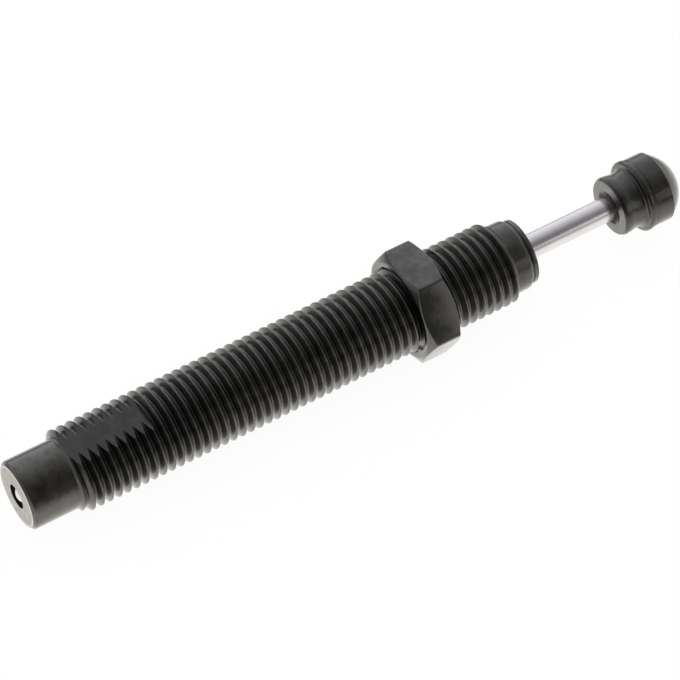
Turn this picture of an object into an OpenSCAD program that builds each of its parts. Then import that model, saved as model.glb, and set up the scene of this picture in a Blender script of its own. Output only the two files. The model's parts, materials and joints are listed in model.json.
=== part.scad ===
// Industrial shock absorber: a threaded steel body with a lock nut, a chromed
// rod and a strike button, and the hydraulic parts that it holds.
//
// The axis is X. The origin is the centre of the rear end face, +X points to
// the strike button and +Z is up. The rod is drawn fully extended.
// Every size is in millimetres, and "x" in a name is a place along the axis.

/* [Body] */
// Length from the rear end face to the front face of the gland
body_length = 90.2; // [90.2:0.1:94]
// Major diameter of the body thread
thread_d = 13.75; // [13.7:0.01:13.96]
// Bore through the body
bore_d = 9.4; // [9.36:0.02:9.5]
// Diameter of the plain end behind the thread
plain_d = 11.31; // [11:0.01:11.5]
// Length of the plain end behind the thread
plain_length = 8; // [6:0.5:10]
// Distance across the two wrench flats
flats_across = 11.5; // [11.5:0.1:12.2]
// Distance from the rear end face to the front end of the wrench flats
flats_end = 22; // [18:0.5:26]
// Turn of the wrench flats about the axis, away from the level flats of the nut
flats_turn = 5; // [0:1:30]
// Diameter of the collar in front of the thread
collar_d = 11.72; // [11.6:0.02:12]

/* [Lock nut] */
// Distance across the flats of the hexagon
nut_across = 17; // [16:0.5:19]
// Thickness of the nut
nut_thick = 6; // [5:0.5:8]
// Distance from the rear end face to the middle of the nut
nut_x = 70.7; // [40:0.1:80]

/* [Rod and button] */
// Diameter of the rod
rod_d = 4; // [3.6:0.1:4]
// Travel of the rod
stroke = 16; // [8:1:16]
// Bare length of rod between gland and button
rod_bare = 16.8; // [16.6:0.1:20]
// Largest diameter of the button, at its lip
button_d = 11.98; // [11.7:0.02:12.6]
// Diameter of the flange at the rear of the button
flange_d = 9.88; // [9.6:0.02:10.2]
// Length of the button with its impact cap
button_length = 12; // [11.6:0.1:12.4]

/* [Metering stage] */
// Outer diameter of the pressure tube
tube_od = 8.6; // [8.4:0.1:8.8]
// Bore of the pressure tube
tube_id = 7; // [7:0.05:7.2]
// Number of metering orifices in the pressure tube
orifices = 6; // [3:1:8]
// Diameter of each orifice
orifice_d = 0.8; // [0.5:0.1:1]
// Number of flow holes through the piston
flow_holes = 6; // [4:1:8]
// Distance that the check ring lifts off the piston
check_lift = 0.39; // [0.2:0.01:0.6]

/* [Return spring] */
// Diameter of the spring wire
wire_d = 0.55; // [0.4:0.05:0.6]
// Mean diameter of the coil
coil_d = 5.8; // [5.7:0.05:5.9]
// Number of working turns, not counting the closed turn at each end
turns = 14.5; // [10:0.5:18]

/* [Hidden] */
$fn = 64;

// Fits, as a gap on the radius
slip = 0.02;      // inner parts in the body bore
running = 0.03;   // rod in its bearing
seal_gap = 0.02;  // seal and wiper lips over the rod, drawn just clear
cut = 0.5;        // how far a cutting tool runs past the face that it cuts

// Radii used by more than one part
bore_r = bore_d / 2;
inner_r = bore_r - slip;
rod_r = rod_d / 2;
tube_r = tube_id / 2;
nut_bore_r = thread_d / 2 + 0.05;

// Rear end: the plug, its spigot and the spring seat
plug_x = 5.5;
spigot_length = 1;
seat_x = plug_x + spigot_length;
spring_x0 = seat_x + 1.5;
port_r = 2.0;
ball_r = 1.97;
ball_x = 2.0;

// Front end: gland, wiper, washer, seal and bearing, counted back from the front
gland_flange = 0.5;
gland_r = 5.4;
gland_neck_r = 4.7;
counterbore_r = bore_r + 0.3;
lip_x = body_length - gland_flange - 0.5;
gland_x0 = lip_x - 5.2;
gland_step_x = lip_x - 0.9;
washer_length = 2;
seal_length = 4;
seal_x0 = gland_x0 - washer_length - seal_length;
bearing_length = 20;
bearing_x0 = seal_x0 - bearing_length;
bearing_flange = 2.5;
waist_r = 3.1;

// Thread ends: it starts behind a short lead and stops at the collar
thread_x0 = plain_length;
thread_x1 = body_length - 4;
thread_lead = 0.8;

// Piston stack, drawn against the stop on the bearing
piston_length = 5.5;
piston_x1 = bearing_x0 - spigot_length - 0.1;
piston_x0 = piston_x1 - piston_length;
ring_thick = 0.6;
check_seat_gap = 0.01;
hub_length = ring_thick + check_seat_gap + check_lift;
retainer_x1 = piston_x0 - hub_length;
retainer_flange = 1;
spring_x1 = retainer_x1 - retainer_flange;
guide_length = 1.2;
tenon_r = 1.25;
tenon_x = spring_x1 - guide_length;
hub_r = 1.4;
flow_pitch_r = 2.05;
flow_r = 0.35;

// Button, counted from its rear face
button_x = body_length + rod_bare;
cap_x = button_x + 5.2;
cap_end_x = button_x + button_length;
cap_r = button_d / 2 - 0.18;
cap_stub_r = 3;
cap_stub = 2;
cap_rim_x = cap_x + 3.3;
dome_r = 6.25;

// Colours
black_oxide = "#26272a";
bare_steel = "#b9b8b4";
chrome = "#dcdde0";
bronze = "#b08d57";
seal_green = "#3f6b4f";
rubber = "#1b1b1d";

// Turns a profile of [radius, x] points about the X axis
module turned(profile) {
    rotate([0, 90, 0]) rotate_extrude() polygon(profile);
}

// Turns the 2-D children about the X axis: their X is radius, their Y is x
module turned_shape() {
    rotate([0, 90, 0]) rotate_extrude() children();
}

// A straight round bar along X, or a tool for a hole along X
module bar(r, x0, x1) {
    translate([x0, 0, 0]) rotate([0, 90, 0]) cylinder(r = r, h = x1 - x0);
}

// A plain ring along X
module ring(r_in, r_out, x0, x1) {
    turned([[r_in, x0], [r_out, x0], [r_out, x1], [r_in, x1]]);
}

// An O-ring of cord radius r on a circle of radius mean_r at x
module o_ring(mean_r, r, x) {
    turned_shape() translate([mean_r, x]) circle(r = r);
}

// Children repeated n times about the X axis
module around(n, start = 0) {
    for (i = [0 : n - 1]) rotate([start + i * 360 / n, 0, 0]) children();
}

// Body: one turned tube, with two wrench flats milled across the thread and a
// front lip that curls in behind the gland's flange
module outer_body() {
    plain_r = plain_d / 2;
    thread_r = thread_d / 2;
    collar_r = collar_d / 2;
    curl_r = 1.7;
    curl_x = lip_x - 1.5;
    lip_r = collar_r - 0.06;
    chamfer = 0.5;
    flat_z = flats_across / 2;
    lead_end = thread_x0 + thread_lead;
    lead_centre = (lead_end ^ 2 - thread_x0 ^ 2 + thread_r ^ 2 - plain_r ^ 2) / (2 * thread_lead);
    color(black_oxide) difference() {
        turned_shape() difference() {
            union() {
                polygon([
                    [0, 0], [plain_r - chamfer, 0], [plain_r, chamfer], [plain_r, thread_x0],
                    [plain_r, lead_end], [thread_r, lead_end], [thread_r, thread_x1 - thread_lead],
                    [collar_r, thread_x1], [lip_r, curl_x], [0, curl_x]
                ]);
                // rear lead of the thread, a ball centred on the axis
                intersection() {
                    translate([0, lead_centre]) circle(r = norm([thread_r, lead_centre - lead_end]));
                    translate([0, thread_x0]) square([thread_r, thread_lead + cut]);
                }
                intersection() {
                    translate([lip_r - curl_r, curl_x]) circle(r = curl_r);
                    translate([0, curl_x - cut]) square([lip_r, lip_x - curl_x + cut]);
                }
            }
            // bore, counterbore for the gland, and the rolled lip over the gland's step
            translate([-cut, -cut]) square([bore_r + cut, gland_x0 + 2 * cut]);
            translate([-cut, gland_x0]) square([counterbore_r + cut, gland_step_x - gland_x0]);
            translate([-cut, gland_x0]) square([gland_neck_r + slip + cut, lip_x]);
        }
        around(2, flats_turn)
            translate([plain_length, -thread_d, flat_z])
                cube([flats_end - plain_length, 2 * thread_d, thread_d]);
    }
}

// Lock nut: a hexagon with a 30 degree chamfer at both ends, two flats level
module lock_nut() {
    half = nut_thick / 2;
    corner_r = nut_across / sqrt(3);
    face_r = nut_across * 0.482;
    chamfer = (corner_r - face_r) * tan(30);
    lead = 0.5;
    color(black_oxide) translate([nut_x, 0, 0]) difference() {
        intersection() {
            rotate([0, 90, 0]) rotate([0, 0, 90])
                cylinder(r = corner_r, h = nut_thick, center = true, $fn = 6);
            turned([
                [0, -half], [face_r, -half], [corner_r, chamfer - half],
                [corner_r, half - chamfer], [face_r, half], [0, half]
            ]);
        }
        turned([
            [0, -half - cut], [nut_bore_r + lead + cut, -half - cut], [nut_bore_r, lead - half],
            [nut_bore_r, half - lead], [nut_bore_r + lead + cut, half + cut], [0, half + cut]
        ]);
    }
}

// Plug that closes the rear of the bore, drilled for oil filling
module rear_end_plug() {
    groove_r = bore_r - 0.9;
    groove_x = 3.2;
    groove_length = 1.2;
    passage_r = 0.75;
    port_depth = 2.8;
    cone_end = port_depth + port_r - passage_r;
    color(bare_steel) difference() {
        turned([
            [0, 0], [bore_r, 0], [bore_r, groove_x], [groove_r, groove_x],
            [groove_r, groove_x + groove_length], [bore_r, groove_x + groove_length],
            [bore_r, plug_x], [tube_r - slip, plug_x], [tube_r - slip, seat_x], [0, seat_x]
        ]);
        turned([
            [0, -cut], [port_r, -cut], [port_r, port_depth], [passage_r, cone_end],
            [passage_r, seat_x + cut], [0, seat_x + cut]
        ]);
    }
}

// O-ring in the groove of the plug
module plug_o_ring() {
    color(rubber) o_ring(bore_r - 0.46, 0.43, 3.8);
}

// Steel ball pressed into the filling port
module fill_port_ball() {
    color(chrome) translate([ball_x, 0, 0]) sphere(r = ball_r);
}

// Pressure tube. Orifice i of n lies at (i / n) squared of the stroke from its
// end, so the open area falls with the root of the travel left, which slows a
// load at an even rate. Four ports at the front feed the return side.
module pressure_tube() {
    end_of_travel = piston_x0 - stroke;
    spiral_step = 70;
    port_d = 0.9;
    color(bare_steel) difference() {
        ring(tube_r, tube_od / 2, plug_x, bearing_x0);
        for (i = [1 : orifices])
            translate([end_of_travel + stroke * pow(i / orifices, 2), 0, 0])
                rotate([i * spiral_step, 0, 0]) cylinder(d = orifice_d, h = tube_od);
        around(4)
            translate([piston_x1 - port_d / 2, 0, 0]) cylinder(d = port_d, h = tube_od);
    }
}

// Seat that holds the rear end of the spring central
module spring_seat() {
    hub = (coil_d - wire_d) / 2 - 0.15;
    color(bare_steel) turned([
        [0.8, seat_x], [tube_r - 0.1, seat_x], [tube_r - 0.1, spring_x0],
        [hub, spring_x0], [hub - 0.3, spring_x0 + 1.4], [0.8, spring_x0 + 1.4]
    ]);
}

// Place along X of the spring wire's centre after t turns: a closed turn at
// each end, where the wire rises by its own diameter, and an even pitch between
function spring_place(t) =
    let (pitch = (spring_x1 - spring_x0 - 3 * wire_d) / turns)
    spring_x0 + wire_d / 2
    + wire_d * min(t, 1)
    + pitch * min(max(t - 1, 0), turns)
    + wire_d * max(t - 1 - turns, 0);

// Return spring: a round wire swept along the coil as one closed skin
module return_spring() {
    sides = 6;
    per_turn = 16;
    rings = ceil((turns + 2) * per_turn);
    points = [
        for (k = [0 : rings], j = [0 : sides - 1])
            let (
                turn = (turns + 2) * k / rings,
                a = 360 * turn,
                b = 360 * j / sides,
                r = coil_d / 2 + wire_d / 2 * cos(b)
            )
            [spring_place(turn) + wire_d / 2 * sin(b), r * cos(a), r * sin(a)]
    ];
    skin = [
        for (k = [0 : rings - 1], j = [0 : sides - 1])
            let (n = (j + 1) % sides, p = k * sides, q = p + sides)
            [p + j, p + n, q + n, q + j]
    ];
    ends = [[for (j = [sides - 1 : -1 : 0]) j], [for (j = [0 : sides - 1]) rings * sides + j]];
    color(bare_steel) polyhedron(points, concat(skin, ends));
}

// Rod, with a tenon at its rear end that carries the piston stack
module piston_rod() {
    rod_x1 = cap_x - 0.1;
    lead = 0.3;
    color(chrome) turned([
        [0, tenon_x], [tenon_r, tenon_x], [tenon_r, piston_x1], [rod_r, piston_x1],
        [rod_r, rod_x1 - lead], [rod_r - lead, rod_x1], [0, rod_x1]
    ]);
}

// Piston, with a ring groove and flow holes that the check ring covers
module piston() {
    piston_r = tube_r - 0.04;
    groove_r = 2.85;
    groove_x = piston_x0 + 1.5;
    groove_length = 1.7;
    lead = 0.8;
    color(bare_steel) difference() {
        turned([
            [tenon_r, piston_x0], [piston_r, piston_x0], [piston_r, groove_x],
            [groove_r, groove_x], [groove_r, groove_x + groove_length],
            [piston_r, groove_x + groove_length], [piston_r, piston_x1 - lead],
            [piston_r - lead, piston_x1], [tenon_r, piston_x1]
        ]);
        around(flow_holes)
            translate([0, 0, flow_pitch_r]) bar(flow_r, piston_x0 - cut, piston_x1 + cut);
    }
}

// Bearing ring in the piston's groove
module piston_ring() {
    color(bronze) ring(2.87, tube_r - 0.02, piston_x0 + 1.55, piston_x0 + 3.15);
}

// Check ring: it closes the flow holes on the way in and lifts on the way out
module check_ring() {
    ring_x1 = piston_x0 - check_seat_gap;
    color(bare_steel) ring(hub_r + 0.05, 3, ring_x1 - ring_thick, ring_x1);
}

// Retainer: a hub that guides the check ring, a notched flange that the spring
// pushes on, and a guide that enters the spring
module piston_retainer() {
    flange_r = tube_r - 0.2;
    guide_r = (coil_d - wire_d) / 2 - 0.12;
    notch = 1.1;
    color(bare_steel) difference() {
        turned([
            [tenon_r, tenon_x], [guide_r - 0.3, tenon_x], [guide_r, tenon_x + 0.3],
            [guide_r, spring_x1], [flange_r, spring_x1], [flange_r, retainer_x1],
            [hub_r, retainer_x1], [hub_r, piston_x0], [tenon_r, piston_x0]
        ]);
        around(4, 45)
            translate([spring_x1 - 0.01, -notch / 2, flange_r - 0.6])
                cube([retainer_flange + 0.02, notch, 2]);
    }
}

// Rod bearing: flanges at both ends and a waist that the foam lies round
module rod_bearing() {
    x0 = bearing_x0;
    x1 = seal_x0;
    foam_x0 = x0 + bearing_flange;
    foam_x1 = x1 - bearing_flange;
    groove_x0 = foam_x1 + 0.7;
    groove_x1 = groove_x0 + 1.1;
    groove_r = bore_r - 0.9;
    oil_slot_r = 0.5;
    color(bronze) difference() {
        turned([
            [rod_r + running, x0 - spigot_length], [tube_r - slip, x0 - spigot_length],
            [tube_r - slip, x0], [inner_r, x0], [inner_r, foam_x0], [waist_r, foam_x0],
            [waist_r, foam_x1], [inner_r, foam_x1], [inner_r, groove_x0],
            [groove_r, groove_x0], [groove_r, groove_x1], [inner_r, groove_x1],
            [inner_r, x1], [rod_r + running, x1]
        ]);
        around(4)
            translate([0, 0, bore_r]) bar(oil_slot_r, x0 - 0.01, foam_x0 + 0.01);
    }
}

// Closed-cell foam that gives way to the oil that the rod displaces
module foam_accumulator() {
    color("#5a5f66") ring(
        waist_r + slip, inner_r - slip,
        bearing_x0 + bearing_flange + 0.1, seal_x0 - bearing_flange - 0.1
    );
}

// O-ring between the bearing and the body
module bearing_o_ring() {
    color(rubber) o_ring(bore_r - 0.46, 0.43, seal_x0 - bearing_flange + 1.25);
}

// Lip seal on the rod, open to the oil side
module rod_seal() {
    x0 = seal_x0 + 0.1;
    x1 = seal_x0 + seal_length;
    root_x = x0 + 1.9;
    lip = rod_r + seal_gap;
    color(seal_green) turned([
        [lip, x0 + 0.2], [lip + 0.45, x0], [2.75, root_x - 0.4], [3.0, root_x],
        [3.7, root_x], [3.95, root_x - 0.4], [inner_r - 0.45, x0], [inner_r, x0 + 0.2],
        [inner_r, x1], [rod_r + 0.1, x1], [rod_r + 0.1, root_x], [lip, x0 + 0.6]
    ]);
}

// Ring that spreads the lips of the seal
module seal_energiser() {
    color(rubber) o_ring(3.35, 0.5, seal_x0 + 1.45);
}

// Washer behind the seal, which keeps it out of the gap round the rod
module backup_washer() {
    color(bare_steel) ring(rod_r + 0.1, inner_r, gland_x0 - washer_length, gland_x0);
}

// Wiper in the rear recess of the gland
module rod_wiper() {
    lip = rod_r + seal_gap;
    color(rubber) turned([
        [rod_r + 0.15, gland_x0], [3.58, gland_x0], [3.58, gland_x0 + 1.4],
        [2.9, gland_x0 + 1.4], [lip + 0.15, gland_x0 + 2.4], [lip, gland_x0 + 2.4],
        [lip, gland_x0 + 2.1], [rod_r + 0.15, gland_x0 + 1.4]
    ]);
}

// Gland held in the counterbore by the rolled lip, with a flange in front of it
module front_gland() {
    barrel_r = counterbore_r - slip;
    edge = 0.1;
    recess = 2.6;
    mouth = 0.45;
    bore = rod_r + 0.25;
    flange_x = body_length - gland_flange;
    color(black_oxide) turned([
        [3.6, gland_x0], [barrel_r, gland_x0], [barrel_r, gland_step_x - slip],
        [gland_neck_r, gland_step_x - slip], [gland_neck_r, flange_x], [gland_r, flange_x],
        [gland_r, body_length - edge], [gland_r - edge, body_length],
        [bore + mouth, body_length], [bore, body_length - mouth],
        [bore, gland_x0 + recess], [3.6, gland_x0 + recess]
    ]);
}

// Strike button: a flange, a neck and a lip, pressed on the rod
module stop_button() {
    flange_r = flange_d / 2;
    neck_r = flange_r - 0.18;
    lip_r = button_d / 2;
    round_r = 0.15;
    bore_x = cap_x - 0.1;
    lip_x0 = button_x + 4.1;
    lip_x1 = cap_x - 0.2;
    color(black_oxide) turned_shape() difference() {
        union() {
            polygon([
                [0, button_x], [flange_r - 0.3, button_x], [flange_r, button_x + 0.45],
                [flange_r, button_x + 1.2], [neck_r, button_x + 1.5], [neck_r, lip_x0],
                [lip_r - round_r, lip_x0], [lip_r - round_r, lip_x0 + round_r],
                [lip_r, lip_x0 + round_r], [lip_r, lip_x1], [cap_r - 0.1, cap_x],
                [cap_stub_r, cap_x], [cap_stub_r, cap_x + cap_stub], [0, cap_x + cap_stub]
            ]);
            translate([lip_r - round_r, lip_x0 + round_r]) circle(r = round_r);
        }
        translate([-cut, button_x - cut]) square([rod_r + cut, bore_x - button_x + cut]);
    }
}

// Impact cap: a short cylinder with a domed face, pressed on the button. The
// dome starts from a narrow shoulder inside the rim.
module impact_cap() {
    edge_x = cap_x + 0.3;
    dome_x = cap_rim_x + 0.12;
    dome_height = cap_end_x - dome_x;
    dome_base_r = sqrt(2 * dome_r * dome_height - dome_height * dome_height);
    color(black_oxide) turned_shape() difference() {
        union() {
            polygon([
                [0, cap_x], [cap_r - 0.1, cap_x], [cap_r - 0.1, edge_x - 0.1],
                [cap_r, edge_x], [cap_r, cap_rim_x], [dome_base_r, dome_x], [0, dome_x]
            ]);
            intersection() {
                translate([0, cap_end_x - dome_r]) circle(r = dome_r, $fn = 128);
                translate([0, dome_x - 0.1]) square([cap_r, dome_height + 0.1]);
            }
        }
        translate([-cut, cap_x - cut]) square([cap_stub_r + cut, cap_stub + cut]);
    }
}

outer_body();
lock_nut();
rear_end_plug();
plug_o_ring();
fill_port_ball();
pressure_tube();
spring_seat();
return_spring();
piston_rod();
piston();
piston_ring();
check_ring();
piston_retainer();
rod_bearing();
foam_accumulator();
bearing_o_ring();
rod_seal();
seal_energiser();
backup_washer();
rod_wiper();
front_gland();
stop_button();
impact_cap();
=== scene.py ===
"""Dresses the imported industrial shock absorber: its surfaces, finishes, stage and camera.

The axis of the absorber is X, from the rear end face at 0 to the strike button.
Lengths in the scene are metres. Sizes written in millimetres are multiplied by MM.
"""

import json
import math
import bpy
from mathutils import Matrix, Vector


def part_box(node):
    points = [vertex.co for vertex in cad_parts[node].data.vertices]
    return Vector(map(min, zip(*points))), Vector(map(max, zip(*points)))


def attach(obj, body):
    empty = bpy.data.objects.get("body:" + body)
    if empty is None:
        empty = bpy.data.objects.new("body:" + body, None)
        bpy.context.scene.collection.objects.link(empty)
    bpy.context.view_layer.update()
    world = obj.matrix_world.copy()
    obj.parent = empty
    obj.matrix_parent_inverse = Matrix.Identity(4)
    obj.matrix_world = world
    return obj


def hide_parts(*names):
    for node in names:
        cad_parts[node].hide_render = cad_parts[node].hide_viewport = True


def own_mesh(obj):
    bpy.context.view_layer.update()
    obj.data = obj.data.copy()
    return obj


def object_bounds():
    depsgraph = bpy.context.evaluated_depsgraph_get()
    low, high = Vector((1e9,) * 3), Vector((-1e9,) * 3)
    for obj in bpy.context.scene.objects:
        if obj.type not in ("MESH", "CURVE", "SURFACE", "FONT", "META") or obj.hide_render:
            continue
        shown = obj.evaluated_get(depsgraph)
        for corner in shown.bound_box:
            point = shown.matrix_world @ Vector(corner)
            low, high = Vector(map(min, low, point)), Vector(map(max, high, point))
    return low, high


bl_info = {
    "name": "Industrial Shock Absorber",
    "version": (1, 0, 0),
    "blender": (4, 5, 0),
    "location": "View3D > Sidebar > Shock Absorber",
    "description": "Makes the visible pieces of a threaded shock absorber around its CAD frame",
    "category": "Add Mesh",
}

import bmesh
import bpy
import numpy as np
from bpy.props import FloatProperty, FloatVectorProperty, PointerProperty
from mathutils import Quaternion, Vector

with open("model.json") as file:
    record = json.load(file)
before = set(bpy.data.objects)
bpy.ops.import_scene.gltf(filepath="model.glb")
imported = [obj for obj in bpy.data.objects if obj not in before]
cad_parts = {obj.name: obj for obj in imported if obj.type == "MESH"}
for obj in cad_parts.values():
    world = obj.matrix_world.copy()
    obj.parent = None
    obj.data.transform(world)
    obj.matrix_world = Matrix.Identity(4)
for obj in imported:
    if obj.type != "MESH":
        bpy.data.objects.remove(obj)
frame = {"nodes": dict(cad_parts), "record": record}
CAD_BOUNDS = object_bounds()

MM = 0.001
COLUMNS = 128                 # steps round every turned surface
BODY_COLUMNS = 96             # steps round the threaded body, which has many rows
WELD = 3e-8                   # points nearer to each other than this become one
TINY = 1e-12                  # the least length that a side is divided by
SHARP = math.radians(32)      # an edge that turns by more than this stays sharp
MILLED_COSINE = 0.9999        # between the normal of a milled face and the direction square to it
COLLAR_LENGTH = 3 * MM        # from the end of the thread to the front of the body
LEAD = 0.8 * MM               # over which the thread rises at its start and falls at its end


def span(node):
    """The first and last place of a CAD node along the axis."""
    low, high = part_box(node)
    return low.x, high.x


def outer_radius(node):
    """Half the height of a CAD node, which is its largest radius if it is round."""
    low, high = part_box(node)
    return (high.z - low.z) / 2


def linear(code):
    """A colour written as an sRGB hex value, such as 26272a, as linear red, green, blue and alpha.

    Each channel c becomes c / 12.92 below 0.04045, and ((c + 0.055) / 1.055) to the power 2.4 above it.
    """
    channels = np.array([int(code[i:i + 2], 16) for i in (0, 2, 4)]) / 255
    low = channels / 12.92
    high = ((channels + 0.055) / 1.055) ** 2.4
    return (*np.where(channels <= 0.04045, low, high), 1.0)


WHITE = linear("ffffff")


# Sizes and colours that a user would change


class BodySizes(bpy.types.PropertyGroup):
    """The threaded body."""

    pitch: FloatProperty(
        name="Pitch", description="Distance from one thread crest to the next",
        default=1.5477 * MM, subtype="DISTANCE", precision=5)
    phase: FloatProperty(
        name="Phase", description="Where the crest line crosses the top of the body, as a share of the pitch",
        default=0.977, min=0, max=1, subtype="FACTOR")
    depth: FloatProperty(
        name="Thread depth", description="Height of the thread from root to crest",
        default=0.94 * MM, subtype="DISTANCE", precision=5)
    plain_radius: FloatProperty(
        name="Plain end radius", description="Radius of the smooth rear end",
        default=5.655 * MM, subtype="DISTANCE", precision=5)
    thread_start: FloatProperty(
        name="Start of the thread", description="How far the smooth rear end reaches from the rear face",
        default=8 * MM, subtype="DISTANCE", precision=5)
    flats_end: FloatProperty(
        name="End of the flats", description="How far the wrench flats reach from the rear face",
        default=22 * MM, subtype="DISTANCE", precision=5)
    flats_across: FloatProperty(
        name="Across the flats", description="Distance between the two wrench flats",
        default=11.5 * MM, subtype="DISTANCE", precision=5)
    flats_turn: FloatProperty(
        name="Turn of the flats", description="Turn of the wrench flats about the axis, away from level",
        default=math.radians(5), subtype="ANGLE")
    collar_radius: FloatProperty(
        name="Collar radius", description="Radius of the collar in front of the thread",
        default=5.86 * MM, subtype="DISTANCE", precision=5)
    lip_radius: FloatProperty(
        name="Lip radius", description="Radius of the rolled lip at the front of the collar",
        default=0.75 * MM, subtype="DISTANCE", precision=5)
    bore_radius: FloatProperty(
        name="Bore radius", description="Radius of the bore through the body",
        default=4.7 * MM, subtype="DISTANCE", precision=5)


class NutSizes(bpy.types.PropertyGroup):
    """The lock nut."""

    bore_radius: FloatProperty(
        name="Bore radius", description="Radius of the bore that slides on the thread",
        default=6.925 * MM, subtype="DISTANCE", precision=5)
    face_share: FloatProperty(
        name="Face share", description="Radius of the flat face as a share of the width across flats",
        default=0.482, min=0.45, max=0.5, subtype="FACTOR")
    edge: FloatProperty(
        name="Edge rounding", description="How far each edge of the hexagon is rounded back",
        default=0.12 * MM, subtype="DISTANCE", precision=5)


class SpringSizes(bpy.types.PropertyGroup):
    """The return spring."""

    wire: FloatProperty(
        name="Wire", description="Diameter of the spring wire",
        default=0.55 * MM, subtype="DISTANCE", precision=5)
    turns: FloatProperty(
        name="Working turns", description="Turns between the closed turn at each end", default=14.5)


class FinishColours(bpy.types.PropertyGroup):
    """The colours of the finishes."""

    oxide: FloatVectorProperty(
        name="Black oxide", description="Colour of the oxide on the body",
        default=linear("5c5a56"), size=4, subtype="COLOR", min=0, max=1)
    button_oxide: FloatVectorProperty(
        name="Button oxide", description="Colour of the oxide on the strike button and its cap",
        default=linear("494744"), size=4, subtype="COLOR", min=0, max=1)
    nut_oxide: FloatVectorProperty(
        name="Nut oxide", description="Colour of the oxide on the lock nut and the gland",
        default=linear("5b5956"), size=4, subtype="COLOR", min=0, max=1)
    faced_steel: FloatVectorProperty(
        name="Faced steel", description="Colour of the bare machined rear face",
        default=linear("c6c3bf"), size=4, subtype="COLOR", min=0, max=1)
    chrome: FloatVectorProperty(
        name="Chrome", description="Colour of the chromed rod",
        default=linear("f4eff1"), size=4, subtype="COLOR", min=0, max=1)
    floor: FloatVectorProperty(
        name="Floor", description="Colour of the floor",
        default=linear("f4f4f4"), size=4, subtype="COLOR", min=0, max=1)
    tent: FloatVectorProperty(
        name="Tent", description="Colour of the light behind the absorber",
        default=linear("f4f6fc"), size=4, subtype="COLOR", min=0, max=1)
    opening: FloatVectorProperty(
        name="Opening", description="Colour of the dark side that the camera stands on",
        default=linear("464441"), size=4, subtype="COLOR", min=0, max=1)


class StageSizes(bpy.types.PropertyGroup):
    """The camera and its view of the absorber."""

    azimuth: FloatProperty(
        name="Azimuth", description="Direction of view round the vertical",
        default=math.radians(-28.59), subtype="ANGLE")
    elevation: FloatProperty(
        name="Elevation", description="Height of the camera above the horizon",
        default=math.radians(48.07), subtype="ANGLE")
    roll: FloatProperty(
        name="Roll", description="Turn of the camera about its line of sight",
        default=math.radians(-3.92), subtype="ANGLE")
    distance: FloatProperty(
        name="Distance", description="Depth of the rear face in front of the camera",
        default=0.595, subtype="DISTANCE")
    lens: FloatProperty(
        name="Lens", description="Focal length in millimetres",
        default=210.3, subtype="DISTANCE_CAMERA")
    right: FloatProperty(
        name="Right", description="How far the camera stands to the right of the rear face",
        default=48.465 * MM, subtype="DISTANCE", precision=5)
    up: FloatProperty(
        name="Up", description="How far the camera stands above the rear face, across the view",
        default=23.47 * MM, subtype="DISTANCE", precision=5)
    dark_tilt: FloatProperty(
        name="Dark side tilt", description="How far the middle of the dark side lies below the camera",
        default=math.radians(15), subtype="ANGLE")


# Meshes


def round_corners(corners, cuts, steps=5, closed=True):
    """Rounds the corners of an outline.

    Each corner C with neighbours L and R becomes a quadratic curve from A, at distance cut from C towards L,
    to B, at distance cut towards R: (1 - t) squared A + 2 t (1 - t) C + t squared B, for t from 0 to 1.
    corners is an array of outlines, [..., corner, 2]. An open outline keeps its end points.
    """
    corners = np.asarray(corners, float)
    cuts = np.broadcast_to(np.asarray(cuts, float), corners.shape[:-1])[..., None]
    left = np.roll(corners, 1, axis=-2) - corners
    right = np.roll(corners, -1, axis=-2) - corners
    if not closed:
        left[..., 0, :] = right[..., 0, :]
        right[..., -1, :] = left[..., -1, :]
        cuts = cuts.copy()
        cuts[..., [0, -1], :] = 0
    left_length = np.maximum(np.linalg.norm(left, axis=-1, keepdims=True), TINY)
    right_length = np.maximum(np.linalg.norm(right, axis=-1, keepdims=True), TINY)
    start = corners + left / left_length * np.minimum(cuts, left_length / 2)
    end = corners + right / right_length * np.minimum(cuts, right_length / 2)
    t = np.linspace(0, 1, steps)[:, None]
    curve = (
        (1 - t) ** 2 * start[..., None, :]
        + 2 * t * (1 - t) * corners[..., None, :]
        + t ** 2 * end[..., None, :]
    )
    return curve.reshape(*corners.shape[:-2], -1, 2)


def quads(rows, columns, wrap_rows=False, wrap_columns=False):
    """The quads of a grid whose point in row i and column j has the number i times columns plus j."""
    i = np.arange(rows if wrap_rows else rows - 1)[:, None]
    j = np.arange(columns if wrap_columns else columns - 1)[None, :]
    i2, j2 = (i + 1) % rows, (j + 1) % columns
    corners = [i * columns + j, i * columns + j2, i2 * columns + j2, i2 * columns + j]
    return np.stack(np.broadcast_arrays(*corners), axis=-1).reshape(-1, 4)


def polar(x, radius, angle):
    """Points at places x on the axis, at a radius and an angle round it: y is r sin a, and z is r cos a."""
    x, radius, angle = np.broadcast_arrays(x, radius, angle)
    return np.stack([x, radius * np.sin(angle), radius * np.cos(angle)], axis=-1).reshape(-1, 3)


def turned(profile, closed=True, columns=COLUMNS):
    """A turned surface: each point (x, r) of the profile is carried round a full circle about the axis."""
    profile = np.asarray(profile, float)
    angle = 2 * np.pi * np.arange(columns) / columns
    points = polar(profile[:, :1], profile[:, 1:], angle[None, :])
    return points, quads(len(profile), columns, wrap_rows=closed, wrap_columns=True)


def joined(*surfaces):
    """Several surfaces as one list of points and one list of quads."""
    offsets = np.cumsum([0] + [len(points) for points, _ in surfaces[:-1]])
    points = np.concatenate([points for points, _ in surfaces])
    faces = np.concatenate([faces + k for (_, faces), k in zip(surfaces, offsets)])
    return points, faces


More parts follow.
